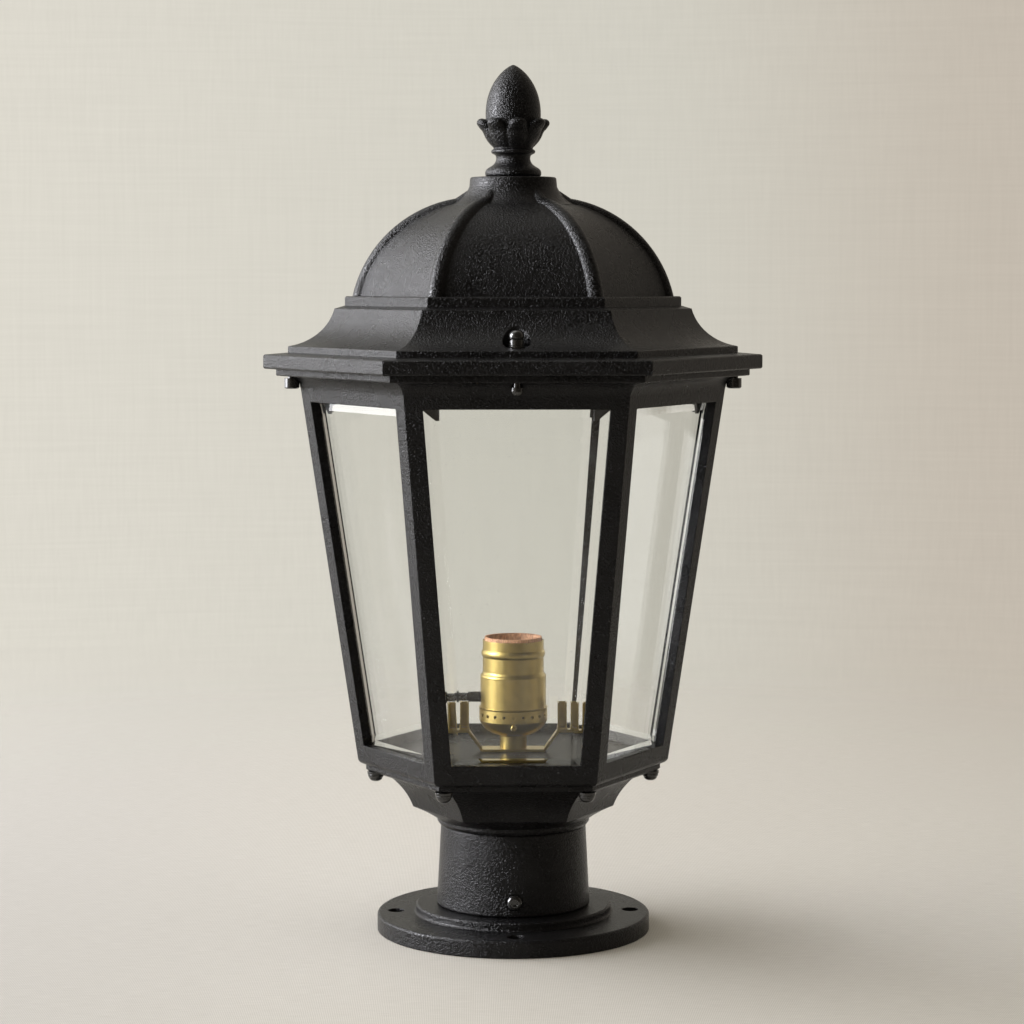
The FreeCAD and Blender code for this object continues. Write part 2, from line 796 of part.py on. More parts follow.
def roof_dome():
    edge = brim_edge
    brim_a, fillet_a, step_a = apothem(brim_r), apothem(fillet_r), apothem(step_r)
    outer = moulding([
        (brim_a - edge, cage_top), (brim_a, cage_top + edge), (brim_a, brim_top - edge),
        (brim_a - edge, brim_top), (fillet_a, brim_top + brim_slope),
        (fillet_a, sweep_foot - fillet_edge), (fillet_a - fillet_edge, sweep_foot),
        (apothem(sweep_bulge_r), sweep_foot + sweep_bulge_rise, apothem(sweep_top_r), sweep_top),
        (step_a, step_foot), (step_a, dome_foot - step_edge), (step_a - step_edge, dome_foot),
        (apothem(dome_foot_r), dome_foot),
        (apothem(dome_bulge_r), dome_foot + dome_bulge_rise, apothem(dome_head_r), dome_head),
    ])
    ribs = [rib(angle) for angle in CORNERS] + [rib_head(angle) for angle in CORNERS]
    body = fused([outer] + ribs + [collar()])
    hollow_a = apothem(roof_hollow_r)
    drop = roof_wall / ROUND
    hollow = moulding([
        (hollow_a, cage_top - 1), (hollow_a, sweep_foot - 1.5 * fillet_edge),
        (apothem(sweep_bulge_r) - 1.8 * roof_wall, sweep_foot + sweep_bulge_rise + 0.6 * roof_wall,
         apothem(sweep_top_r) - drop, sweep_top),
        (apothem(dome_foot_r) - drop, dome_foot),
        (apothem(dome_bulge_r) - 0.75 * drop, dome_foot + dome_bulge_rise - 0.72 * drop,
         apothem(dome_head_r) - 1.6 * drop, dome_head - roof_wall),
    ])
    bosses = []
    for angle in (FRONT, BACK):
        boss = upright(niche_r + boss_wall, stud_from_axis, angle, cage_top, sweep_top + step_ledge_rise)
        bosses.append(boss.common(outer))
    body = fused([body.cut(hollow)] + bosses)
    well_top = collar_top - collar_web
    body = body.cut(rod(finial_washer_r + slip_gap, dome_head - 2 * roof_wall, well_top))
    body = body.cut(rod(finial_stud_r + hole_gap, well_top - 1, collar_top + 1))
    niche_top = dome_foot - step_h / 2
    bore_top = cage_top + brim_screw_bite + slip_gap
    for angle in (FRONT, BACK):
        body = body.cut(upright(niche_r, stud_from_axis, angle, niche_floor(), niche_top))
        body = body.cut(upright(stud_r + hole_gap, stud_from_axis, angle, cage_top - 1, niche_top))
        reach = cove_screw_r + thread_gap
        body = body.cut(upright(reach, cove_screw_from_axis, angle, cage_top - 1, bore_top))
    for angle in (0, 180):
        reach = corner_screw_r + thread_gap
        body = body.cut(upright(reach, corner_screw_circle_r, angle, cage_top - 1, bore_top))
    return body


# Circle through three points of an arc in a corner plane: its centre and radius
def circle_of(a, b, c):
    circle = Part.Arc(V(a[0], 0, a[1]), V(b[0], 0, b[1]), V(c[0], 0, c[1])).toShape().Curve
    return circle.Center.x, circle.Center.z, circle.Radius


# Ribs: round bars bent along the dome's corners
def rib(angle):
    foot = (dome_foot_r + rib_proud, dome_foot)
    mid = (dome_bulge_r + rib_proud * 0.76, dome_foot + dome_bulge_rise + rib_proud * 0.64)
    head = (dome_head_r + 0.28 * rib_proud, dome_head + 0.96 * rib_proud)
    cx, cz, crest = circle_of(foot, mid, head)
    bar = crest - rib_r
    low = math.degrees(math.asin((dome_foot - step_h / 2 - cz) / bar))
    high = math.degrees(math.acos((collar_r + 0.8 * rib_r - cx) / crest))
    section = Part.Face(Part.Wire(Part.makeCircle(rib_r, V(cx + bar, 0, cz), UP)))
    section.rotate(V(cx, 0, cz), V(0, 1, 0), -low)
    bar_solid = section.revolve(V(cx, 0, cz), V(0, -1, 0), high - low)
    return turned_by(bar_solid, angle)


# Tapered end of a rib, which climbs the collar's cove up to its upright side
def rib_head(angle):
    start = V(dome_head_r - 4.1, 0, dome_head + 1.7)
    top = V(collar_r, 0, collar_foot - 1.0)
    along = (top - start).normalize()
    out = V(-along.z, 0, along.x) * -1
    reach = (top - start).Length + rib_head_bite
    foot = start - out * rib_r
    end = start + along * reach - out * rib_head_r
    length = (end - foot).Length
    return turned_by(Part.makeCone(rib_r, rib_head_r, length, foot, end - foot), angle)


def collar():
    foot = dome_head - roof_wall
    lip = collar_lip
    return turned([
        (0, foot), (collar_cove_r, foot), (collar_cove_r, collar_cove_foot),
        (collar_r + 0.42 * (collar_cove_r - collar_r), collar_cove_foot + 0.4 * collar_cove_h,
         collar_r + 0.4, collar_foot),
        (collar_r, collar_top - lip), (collar_r - lip, collar_top), (0, collar_top),
    ])


def roof_studs():
    top = niche_floor() + acorn_washer_h + 0.7 * acorn_h
    return group([upright(stud_r, stud_from_axis, a, top_flange_foot, top) for a in (FRONT, BACK)])


def roof_nut_washers():
    one = washer(acorn_washer_r, stud_r + hole_gap, acorn_washer_h)
    return group([placed(one, polar(stud_from_axis, a, niche_floor()), UP) for a in (FRONT, BACK)])


def roof_acorn_nuts():
    one = cap_nut(acorn_r, acorn_h, stud_r + thread_gap, 0.7 * acorn_h + 0.2, 0.18 * acorn_h)
    seat = niche_floor() + acorn_washer_h
    return group([placed(one, polar(stud_from_axis, a, seat), UP) for a in (FRONT, BACK)])


def roof_cove_screws():
    one = screw(cove_screw_head_r, cove_screw_head_h, cove_screw_r, cove_screw_sink + brim_screw_bite)
    seat = cage_top - cove_screw_sink
    return group([placed(one, polar(cove_screw_from_axis, a, seat), -UP) for a in (FRONT, BACK)])


def roof_corner_screws():
    length = corner_screw_sink + brim_screw_bite
    one = screw(corner_screw_head_r, corner_screw_head_h, corner_screw_r, length, domed=False)
    seat = cage_top - corner_screw_sink
    return group([placed(one, polar(corner_screw_circle_r, a, seat), -UP) for a in (0, 180)])


def finial():
    z = collar_top
    base_top = z + finial_base_h
    neck_z = base_top + finial_neck_h
    bead_foot = neck_z + 0.55 * finial_neck_h
    bead_top = bead_foot + finial_bead_h
    belly = bead_top + finial_cup_h
    tip = belly + finial_egg_h
    cushion = 0.87 * finial_base_h
    fillet = finial_base_r - 1.7
    neck_mid = finial_neck_r + 0.42 * (fillet - finial_neck_r)
    body = turned([
        (0, z), (finial_base_r - 0.9, z),
        (finial_base_r, z + 0.42 * finial_base_h, finial_base_r - 1.0, z + cushion),
        (fillet, z + cushion), (fillet, base_top - 0.2),
        (neck_mid, base_top + 0.4 * finial_neck_h, finial_neck_r, neck_z),
        (finial_neck_r, neck_z + 0.2 * finial_neck_h, finial_neck_r + 0.9, bead_foot),
        (finial_bead_r, bead_foot),
        (finial_bead_r + finial_bead_round, (bead_foot + bead_top) / 2, finial_bead_r, bead_top),
        (finial_bead_r - finial_bead_round, bead_top + finial_bead_round),
        (0.93 * finial_egg_r, (bead_top + belly) / 2, finial_egg_r, belly),
        (0.85 * finial_egg_r, belly + 0.46 * finial_egg_h, 0.49 * finial_egg_r, tip - 0.19 * finial_egg_h),
        (0.29 * finial_egg_r, tip - 0.07 * finial_egg_h, finial_tip_r, tip), (0, tip),
    ])
    one = leaf(bead_top + 0.3, bead_top + leaf_h)
    leaves = [turned_by(one, FRONT + leaf_turn + k * 360 / leaf_count) for k in range(leaf_count)]
    body = fused([body] + leaves)
    return body.cut(rod(finial_stud_r + thread_gap, z - 1, z + finial_stud_bite + 0.3))


# Leaf looking along +X: a tongue with a rounded back, whose tip curls outwards in a thick roll
def leaf(foot, curl_z):
    tongue = turned([
        (finial_neck_r, foot), (finial_bead_r - 0.6, foot),
        (leaf_back_r - 1.5, foot + 3.8, leaf_back_r, curl_z - leaf_curl_r), (leaf_back_r, curl_z),
        (finial_neck_r, curl_z),
    ])
    back = Part.makeCylinder(leaf_round, curl_z - foot, V(leaf_back_r - leaf_round + 0.2, 0, foot))
    centre = leaf_tip_r - leaf_curl_r
    half = leaf_curl_half_w - leaf_curl_r
    roll = [Part.makeCylinder(leaf_curl_r, 2 * half, V(centre, -half, curl_z), V(0, 1, 0))]
    roll += [Part.makeSphere(leaf_curl_r, V(centre, side * half, curl_z)) for side in (-1, 1)]
    return fused([tongue.common(back)] + roll)


def finial_well_top():
    return collar_top - collar_web


def finial_stud():
    foot = finial_well_top() - finial_washer_h - finial_nut_h - 1.5
    return rod(finial_stud_r, foot, collar_top + finial_stud_bite)


def finial_washer():
    one = washer(finial_washer_r, finial_stud_r + hole_gap, finial_washer_h)
    return placed(one, V(0, 0, finial_well_top()), -UP)


def finial_nut():
    one = hex_nut(finial_nut_flat, finial_nut_h, finial_stud_r + thread_gap)
    return placed(one, V(0, 0, finial_well_top() - finial_washer_h), -UP)


def socket_nipple():
    return tube(nipple_r, nipple_bore_r, plate_top - nipple_down, neck_foot + nipple_up)


def nipple_washer():
    return placed(washer(nipple_washer_r, nipple_r + thread_gap, nipple_washer_h), V(0, 0, ledge_top), -UP)


def nipple_nut():
    one = hex_nut(nipple_nut_flat, nipple_nut_h, nipple_r + thread_gap)
    return placed(one, V(0, 0, ledge_top - nipple_washer_h), -UP)


# Brass strip with a raised end on each side, and two upright channels on each end
def prong_saddle():
    z0 = plate_top
    t = saddle_t
    end = prong_outer_x + prong_w / 2
    run = saddle_knee - saddle_flat
    lean = t * math.tan(math.atan2(saddle_rise, run) / 2)
    low = [(saddle_flat + lean, z0), (saddle_knee + lean, z0 + saddle_rise), (end, z0 + saddle_rise)]
    high = [(end, z0 + saddle_rise + t), (saddle_knee, z0 + saddle_rise + t), (saddle_flat, z0 + t)]
    right = low + high
    left = [(-x, z) for x, z in reversed(right)]
    points = [V(x, -saddle_w / 2, z) for x, z in right + left]
    strip = Part.Face(Part.makePolygon(points + [points[0]])).extrude(V(0, saddle_w, 0))
    middle = Part.makeBox(2 * saddle_flat, saddle_w, saddle_rise + 2 * t, V(-saddle_flat, -saddle_w / 2, z0))
    arms = Part.makeBox(2 * end, saddle_arm_w, saddle_rise + 2 * t, V(-end, -saddle_arm_w / 2, z0))
    strip = strip.common(middle.fuse(arms))
    channels = []
    foot = z0 + saddle_rise + t
    for x in (prong_inner_x, prong_outer_x, -prong_inner_x, -prong_outer_x):
        block = Part.makeBox(prong_w, prong_depth, prong_h, V(x - prong_w / 2, -prong_depth / 2, foot))
        room_w = prong_w - 2 * prong_wall
        corner = V(x - room_w / 2, -prong_depth / 2 - prong_wall, foot + 1.5 * prong_wall)
        room = Part.makeBox(room_w, prong_depth, prong_h, corner)
        wide, narrow = (prong_w + prong_wall, prong_depth + 1.5 * prong_wall), (prong_w, prong_depth)
        toe = Part.makeLoft([
            frame_wire(x, *wide, foot), frame_wire(x, *narrow, foot + prong_toe_h),
        ], True, True)
        channels.append(block.fuse(toe).cut(room))
    body = fused([strip] + channels)
    return body.cut(rod(nipple_r + thread_gap, z0 - 1, z0 + 2 * t))


def frame_wire(x, w, depth, z):
    signs = [(-1, -1), (1, -1), (1, 1), (-1, 1), (-1, -1)]
    return Part.makePolygon([V(x + i * w / 2, j * depth / 2, z) for i, j in signs])


def cap_inner_r():
    return cap_rim_r - sheet


def socket_cap():
    rim_top = rim_foot + cap_rim_h
    inner = cap_inner_r()
    body = turned([
        (nipple_r + thread_gap, neck_foot), (neck_r, neck_foot), (neck_r, bowl_foot - 0.8),
        (neck_r + 0.25, bowl_foot - 0.25, neck_r + 1.0, bowl_foot),
        (0.79 * cap_rim_r, bowl_foot + 0.34 * bowl_h, cap_rim_r, rim_foot),
        (cap_rim_r, rim_top - 0.8), (cap_rim_r + 0.25, rim_top), (inner, rim_top), (inner, rim_foot),
        (0.79 * inner, bowl_foot + 0.34 * bowl_h + 1.1 * sheet, neck_r + 1.0, bowl_foot + sheet),
        (nipple_r + thread_gap, bowl_foot + sheet),
    ])
    for k in range(cap_hole_count):
        turn = (k + 0.5) * 360 / cap_hole_count
        start = polar(inner - 0.6, turn, rim_foot + cap_hole_rise)
        body = body.cut(Part.makeCylinder(cap_hole_r, 2, start, polar(1, turn)))
    spot = Part.makeCylinder(cap_screw_r + thread_gap, cap_rim_r, V(0, 0, cap_screw_z()), polar(1, FRONT))
    return body.cut(spot)


def cap_screw_z():
    return rim_foot - cap_screw_drop


def cap_screw_tip_r():
    return 0.7 * body_r


def bowl_r_at(z):
    foot = (neck_r + 1.0, bowl_foot)
    mid = (0.79 * cap_rim_r, bowl_foot + 0.34 * bowl_h)
    cx, cz, r = circle_of(foot, mid, (cap_rim_r, rim_foot))
    return cx + math.sqrt(r * r - (z - cz) ** 2)


def cap_screw():
    seat = bowl_r_at(cap_screw_z() + cap_screw_head_r)
    length = seat - cap_screw_tip_r()
    one = screw(cap_screw_head_r, cap_screw_head_h, cap_screw_r, length)
    return placed(one, polar(seat, FRONT, cap_screw_z()), polar(1, FRONT))


def socket_interior():
    foot = body_foot + sheet
    body = turned([
        (0, foot), (body_r - 1.2 * body_chamfer, foot), (body_r, body_foot + body_chamfer),
        (body_r, body_top), (0, body_top),
    ])
    body = body.cut(rod(nipple_bore_r, body_foot - 1, body_foot + 0.35 * body_h))
    out = polar(1, 180)
    seat = polar(body_r - sleeve_bite, 180, knob_z)
    body = body.cut(Part.makeCylinder(knob_shaft_r + turn_gap, body_r, V(0, 0, knob_z), out))
    body = body.cut(Part.makeCylinder(sleeve_r + thread_gap, body_r, seat, out))
    for angle in (FRONT, BACK):
        start = polar(body_r - terminal_depth - hole_gap, angle, terminal_z())
        body = body.cut(Part.makeCylinder(terminal_screw_r + thread_gap, body_r, start, polar(1, angle)))
    start = polar(cap_screw_tip_r() - hole_gap, FRONT, cap_screw_z())
    body = body.cut(Part.makeCylinder(cap_screw_r + thread_gap, 2 * body_r, start, polar(1, FRONT)))
    return body.cut(rod(contact_pin_r + thread_gap, body_top - contact_pin_h - hole_gap, body_top + 1))


def terminal_z():
    return rim_foot + terminal_rise


def terminal_screws():
    one = screw(terminal_screw_head_r, terminal_screw_head_h, terminal_screw_r, terminal_depth)
    return group([placed(one, polar(body_r, a, terminal_z()), polar(1, a)) for a in (FRONT, BACK)])


def screw_shell():
    outer = screw_shell_bore_r + screw_shell_wall
    floor_r = contact_r + 2.5
    return turned([
        (floor_r, body_top), (outer, body_top), (outer, body_top + screw_shell_h),
        (screw_shell_bore_r, body_top + screw_shell_h), (screw_shell_bore_r, body_top + screw_shell_wall),
        (floor_r, body_top + screw_shell_wall),
    ])


# Domed spring disc with a pin into the body
def centre_contact():
    top = body_top + contact_rise
    flat_r = 0.3 * contact_r
    disc = turned([
        (0, top - contact_t), (flat_r, top - contact_t),
        (0.6 * contact_r, top - contact_t - 0.5, contact_r - contact_t, body_top),
        (contact_r, body_top), (0.7 * contact_r, top - 0.45, flat_r, top), (0, top),
    ])
    return fused([disc, rod(contact_pin_r, body_top - contact_pin_h, top - contact_t / 2)])


def socket_liner():
    top = rim_foot + shell_h + liner_proud
    return tube(liner_r, liner_r - liner_wall, top - liner_drop, top).cut(sleeve_hole(slip_gap))


def sleeve_hole(gap):
    return Part.makeCylinder(sleeve_r + gap, 2 * body_r, V(0, 0, knob_z), polar(1, 180))


def socket_shell():
    foot = rim_foot + 1.0
    top = rim_foot + shell_h
    shoulder = rim_foot + shell_shoulder_rise
    shoulder_top = shoulder + shell_shoulder_h
    bead_foot = rim_foot + bead_rise
    bead_top = bead_foot + bead_h
    half = shell_shoulder_h / 2

    def skin(offset):
        low, up, bead = shell_low_r - offset, shell_up_r - offset, bead_r - offset
        return [
            (low, foot), (low, shoulder - 0.4), (low - 0.12, shoulder + 0.9, (low + up) / 2, shoulder + half),
            (up + 0.12, shoulder_top - 0.7, up, shoulder_top + 0.6), (up, bead_foot),
            (bead, (bead_foot + bead_top) / 2, up, bead_top), (up, top),
        ]

    inner = skin(shell_wall)
    back = [(r[-2:]) for r in inner]
    points = skin(0) + [back[-1]]
    points += [(inner[6][0], bead_top)]
    points += [(inner[5][0], inner[5][1], inner[4][0], bead_foot)]
    points += [(inner[3][2], inner[3][3])]
    points += [(inner[3][0], inner[3][1], inner[2][2], inner[2][3])]
    points += [(inner[2][0], inner[2][1], inner[1][0], inner[1][1])]
    points += [(inner[0][0], foot)]
    body = turned(points).cut(sleeve_hole(thread_gap))
    for k in range(cap_hole_count):
        turn = (k + 0.5) * 360 / cap_hole_count
        start = polar(shell_low_r - 2 * shell_wall, turn, rim_foot + cap_hole_rise)
        body = body.cut(Part.makeCylinder(cap_hole_r - hole_gap, 2, start, polar(1, turn)))
    return body


def switch_bushing():
    start = polar(body_r - sleeve_bite, 180, knob_z)
    length = sleeve_end_x - body_r + sleeve_bite
    sleeve = Part.makeCylinder(sleeve_r, length, start, polar(1, 180))
    bore = Part.makeCylinder(knob_shaft_r + turn_gap, 2 * length, start - polar(1, 180), polar(1, 180))
    return sleeve.cut(bore)


# The knob is turned about an axis along X, so it is made upright and laid down
def switch_knob():
    gap = turn_gap
    shaft_foot = body_r - knob_shaft_bite
    disc_top = knob_neck_end_x + knob_disc_t
    tip = knob_grip_end_x
    body = turned([
        (0, shaft_foot), (knob_shaft_r, shaft_foot), (knob_shaft_r, sleeve_end_x + gap),
        (knob_neck_r, sleeve_end_x + gap), (knob_neck_r, knob_neck_end_x), (knob_disc_r, knob_neck_end_x),
        (knob_disc_r, disc_top), (knob_grip_r, disc_top), (knob_grip_r, tip - knob_tip_edge),
        (knob_grip_r - knob_tip_edge, tip), (0, tip),
    ])
    for k in range(knob_flute_count):
        turn = k * 360 / knob_flute_count
        for z0, z1, r in ((disc_top, tip + 1, knob_grip_r), (sleeve_end_x + 1, knob_neck_end_x, knob_neck_r)):
            flute = rod(knob_flute_r, z0, z1)
            flute.translate(polar(r, turn))
            body = body.cut(flute)
    return placed(body, V(0, 0, knob_z), polar(1, 180))


def parts():
    nodes = {
        "pier_flange": pier_flange(),
        "post_fitter": post_fitter(),
        "fitter_set_screws": fitter_set_screws(),
        "fitter_screws": fitter_screws(),
        "base_pan": base_pan(),
        "pan_studs": pan_studs(),
        "pan_cap_nuts": pan_cap_nuts(),
        "ground_screw": ground_screw(),
        "cage_frame": cage_frame(),
        "clip_screws": clip_screws(),
        "floor_plate": floor_plate(),
        "floor_plate_screws": floor_plate_screws(),
        "roof_dome": roof_dome(),
        "roof_studs": roof_studs(),
        "roof_nut_washers": roof_nut_washers(),
        "roof_acorn_nuts": roof_acorn_nuts(),
        "roof_cove_screws": roof_cove_screws(),
        "roof_corner_screws": roof_corner_screws(),
        "finial": finial(),
        "finial_stud": finial_stud(),
        "finial_washer": finial_washer(),
        "finial_nut": finial_nut(),
        "socket_nipple": socket_nipple(),
        "nipple_washer": nipple_washer(),
        "nipple_nut": nipple_nut(),
        "prong_saddle": prong_saddle(),
        "socket_cap": socket_cap(),
        "cap_screw": cap_screw(),
        "socket_interior": socket_interior(),
        "terminal_screws": terminal_screws(),
        "screw_shell": screw_shell(),
        "centre_contact": centre_contact(),
        "socket_liner": socket_liner(),
        "socket_shell": socket_shell(),
        "switch_bushing": switch_bushing(),
        "switch_knob": switch_knob(),
    }
    for k, angle in enumerate(FACES):
        nodes[f"glass_pane_{k + 1}"] = glass_pane(angle)
    for k, angle in enumerate(CORNERS):
        nodes[f"glass_clip_{k + 1}"] = glass_clip(angle)
    return nodes


os.makedirs("parts", exist_ok=True)
for name, shape in parts().items():
    print(name, len(shape.Solids), round(shape.Volume / 1000, 3), shape.isValid())
    shape.exportStep(f"parts/{name}.step")
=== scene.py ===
import json
import math
import bpy
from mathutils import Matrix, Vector


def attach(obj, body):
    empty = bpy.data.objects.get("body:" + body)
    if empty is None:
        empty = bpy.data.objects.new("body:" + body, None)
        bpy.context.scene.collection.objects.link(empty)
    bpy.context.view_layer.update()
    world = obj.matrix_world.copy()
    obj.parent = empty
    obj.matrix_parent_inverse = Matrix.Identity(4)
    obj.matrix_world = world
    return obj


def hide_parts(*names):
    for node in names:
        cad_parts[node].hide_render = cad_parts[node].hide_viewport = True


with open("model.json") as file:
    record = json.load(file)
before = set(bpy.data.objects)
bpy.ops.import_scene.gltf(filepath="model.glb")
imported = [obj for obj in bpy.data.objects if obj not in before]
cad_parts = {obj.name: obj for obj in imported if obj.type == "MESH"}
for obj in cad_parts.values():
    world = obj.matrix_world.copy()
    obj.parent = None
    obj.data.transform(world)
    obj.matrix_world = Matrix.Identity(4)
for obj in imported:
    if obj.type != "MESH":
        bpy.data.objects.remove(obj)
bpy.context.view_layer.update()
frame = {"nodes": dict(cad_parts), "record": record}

mm = 0.001


# A socket in a shader tree. Maths on it is written as an expression.
class Wire:
    def __init__(self, tree, socket):
        self.tree = tree
        self.socket = socket

    def maths(self, operation, first, second):
        return self.tree.node("Math", {"operation": operation}, {0: first, 1: second})

    def __add__(self, other):
        return self.maths("ADD", self, other)

    def __sub__(self, other):
        return self.maths("SUBTRACT", self, other)

    def __rsub__(self, other):
        return self.maths("SUBTRACT", other, self)

    def __mul__(self, other):
        return self.maths("MULTIPLY", self, other)

    def __gt__(self, other):
        return self.maths("GREATER_THAN", self, other)

    def __lt__(self, other):
        return self.maths("LESS_THAN", self, other)

    __radd__ = __add__
    __rmul__ = __mul__

    # 0 below low, 1 above high, and smooth in between
    def ramp(self, low, high):
        settings = {"interpolation_type": "SMOOTHSTEP"}
        return self.tree.node("MapRange", settings, {"Value": self, "From Min": low, "From Max": high})


class Tree:
    def __init__(self, owner, kind="Material"):
        owner.use_nodes = True
        self.owner = owner
        self.graph = owner.node_tree
        self.graph.nodes.clear()
        self.output = self.graph.nodes.new("ShaderNodeOutput" + kind)

    def node(self, kind, settings=None, inputs=None, output=0):
        made = self.graph.nodes.new("ShaderNode" + kind)
        for key, value in (settings or {}).items():
            setattr(made, key, value)
        for key, value in (inputs or {}).items():
            if isinstance(value, Wire):
                self.graph.links.new(value.socket, made.inputs[key])
            else:
                made.inputs[key].default_value = value
        return Wire(self, made.outputs[output])

    def place(self):
        return self.node("TexCoord", output="Object")

    def axis(self, name, vector):
        return self.node("SeparateXYZ", {}, {0: vector}, name)

    # Answers of the Light Path node
    def ray(self, question):
        return self.node("LightPath", output=question)

    def noise(self, size, detail=2.0, roughness=0.5):
        inputs = {"Vector": self.place(), "Scale": 1 / size, "Detail": detail, "Roughness": roughness}
        return self.node("TexNoise", {}, inputs)

    # Noise drawn out along the axes on which its scale is low
    def grain(self, scale, detail=2.0, vector=None):
        drawn = self.node("Mapping", {}, {"Vector": vector or self.place(), "Scale": scale})
        return self.node("TexNoise", {}, {"Vector": drawn, "Scale": 1.0, "Detail": detail, "Roughness": 0.5})

    def mix(self, share, first, second, blend="MIX"):
        settings = {"data_type": "RGBA", "blend_type": blend}
        return self.node("Mix", settings, {0: share, 6: first, 7: second}, 2)

    def bump(self, height, depth, strength=1.0, normal=None):
        inputs = {"Height": height, "Distance": depth, "Strength": strength}
        if normal:
            inputs["Normal"] = normal
        return self.node("Bump", {}, inputs)

    # A normal that takes the sharpness off edges
    def rounded(self, radius):
        return self.node("Bevel", {"samples": 6}, {"Radius": radius})

    def principled(self, inputs):
        return self.node("BsdfPrincipled", {}, inputs)

    def layered(self, share, under, over):
        return self.node("MixShader", {}, {0: share, 1: under, 2: over})

    def show(self, shader):
        self.graph.links.new(shader.socket, self.output.inputs["Surface"])
        return self.owner


def newFinish(name):
    return Tree(bpy.data.materials.new(name))


# A pair of numbers in the finishes below says where a pattern starts to show and where it is full.
coat = {
    "dark": (0.0052, 0.0050, 0.0054, 1), "light": (0.0085, 0.0082, 0.0086, 1),
    "cloud": 22 * mm, "clouds": (0.35, 0.7),
    "stipple": 0.95 * mm, "stippleRoughness": 0.6, "stippleDepth": 0.2 * mm, "hills": (0.40, 0.70),
    # paintedGlint is a painted highlight: a lighter colour on the tops of the stipple's bumps
    "paintedGlint": (0.05, 0.05, 0.053, 1), "paintedGlints": (0.62, 0.80),
    "bare": (0.05, 0.048, 0.046, 1), "fleck": 1.7 * mm, "flecks": (0.74, 0.80),
    "peel": 3.0 * mm, "peelDepth": 0.05 * mm, "peelStrength": 0.6,
    "edge": 0.9 * mm, "roughness": 0.22, "dullness": 0.12, "specular": 0.2,
}


# Fine-textured powder coat: hard little bumps with painted glints on their tops, over a slow waviness, softer
# on the castings' edges
def powderCoat():
    tree = newFinish("powderCoat")
    stipple = tree.noise(coat["stipple"], roughness=coat["stippleRoughness"])
    peel = tree.noise(coat["peel"])
    cloud = tree.noise(coat["cloud"], detail=3.0)
    fleck = tree.noise(coat["fleck"], detail=1.0)
    colour = tree.mix(cloud.ramp(*coat["clouds"]), coat["dark"], coat["light"])
    # painted highlight: the tops of the stipple bumps are coloured lighter, as glints
    colour = tree.mix(stipple.ramp(*coat["paintedGlints"]), colour, coat["paintedGlint"])
    colour = tree.mix(fleck.ramp(*coat["flecks"]), colour, coat["bare"])
    normal = tree.rounded(coat["edge"])
    normal = tree.bump(peel, coat["peelDepth"], coat["peelStrength"], normal)
    normal = tree.bump(stipple.ramp(*coat["hills"]), coat["stippleDepth"], 1.0, normal)
    return tree.show(tree.principled({
        "Base Color": colour, "Roughness": coat["roughness"] + coat["dullness"] * cloud,
        "Specular IOR Level": coat["specular"], "Normal": normal,
    }))


brass = {
    "bright": (0.66, 0.50, 0.165, 1), "tarnish": (0.38, 0.255, 0.07, 1),
    "blotch": 6 * mm, "blotches": (0.42, 0.85), "blotchShare": 0.45,
    "spun": (40, 40, 1900), "rings": (0.55, 0.8), "ringShare": 0.2,
    "roughness": 0.25, "blotchDullness": 0.06, "ringDullness": 0.08,
    "dent": 0.05 * mm, "dentStrength": 0.2, "edge": 0.2 * mm,
    "lacquer": 0.3, "lacquerRoughness": 0.16,
}


# Brass spun in a lathe, with thin rings round it, a tarnish that comes and goes, and a clear lacquer
def satinBrass():
    tree = newFinish("satinBrass")
    spun = tree.grain(brass["spun"])
    blotch = tree.noise(brass["blotch"], detail=3.0)
    tarnished = blotch.ramp(*brass["blotches"]) * brass["blotchShare"]
    colour = tree.mix(tarnished, brass["bright"], brass["tarnish"])
    colour = tree.mix(spun.ramp(*brass["rings"]) * brass["ringShare"], colour, brass["tarnish"])
    return tree.show(tree.principled({
        "Base Color": colour, "Metallic": 1.0,
        "Roughness": brass["roughness"] + brass["blotchDullness"] * blotch + brass["ringDullness"] * spun,
        "Coat Weight": brass["lacquer"], "Coat Roughness": brass["lacquerRoughness"],
        "Normal": tree.bump(blotch, brass["dent"], brass["dentStrength"], tree.rounded(brass["edge"])),
    }))


dentStrength = 0.5


# What the plainer finishes share: one cloud for the colour, the gloss and the dents, over softened edges
def cloudy(name, look):
    tree = newFinish(name)
    cloud = tree.noise(look["cloud"], look["detail"])
    return tree.show(tree.principled({
        "Base Color": tree.mix(cloud, look["dark"], look["light"]),
        "Roughness": look["roughness"] + look["dullness"] * cloud,
        "Normal": tree.bump(cloud, look["dent"], dentStrength, tree.rounded(look["edge"])),
        **look["shader"],
    }))


steel = {
    "dark": (0.42, 0.42, 0.44, 1), "light": (0.60, 0.59, 0.57, 1), "cloud": 2 * mm, "detail": 3.0,
    "roughness": 0.28, "dullness": 0.2, "dent": 0.02 * mm, "edge": 0.15 * mm, "shader": {"Metallic": 1.0},
}


def platedSteel():
    return cloudy("platedSteel", steel)


fastener = {
    "dark": (0.012, 0.012, 0.012, 1), "light": (0.028, 0.027, 0.026, 1), "cloud": 1.3 * mm, "detail": 3.0,
    "roughness": 0.13, "dullness": 0.14, "dent": 0.03 * mm, "edge": 0.2 * mm,
    "shader": {"Coat Weight": 0.4, "Coat Roughness": 0.1},
}


# Lacquered screws and nuts, shinier than the castings
def blackFastener():
    return cloudy("blackFastener", fastener)


clipLook = {
    "dark": (0.03, 0.03, 0.031, 1), "light": (0.06, 0.06, 0.062, 1), "cloud": 2.5 * mm, "detail": 3.0,
    "roughness": 0.35, "dullness": 0.2, "dent": 0.03 * mm, "edge": 0.25 * mm, "shader": {},
}


def clipPaint():
    return cloudy("clipPaint", clipLook)


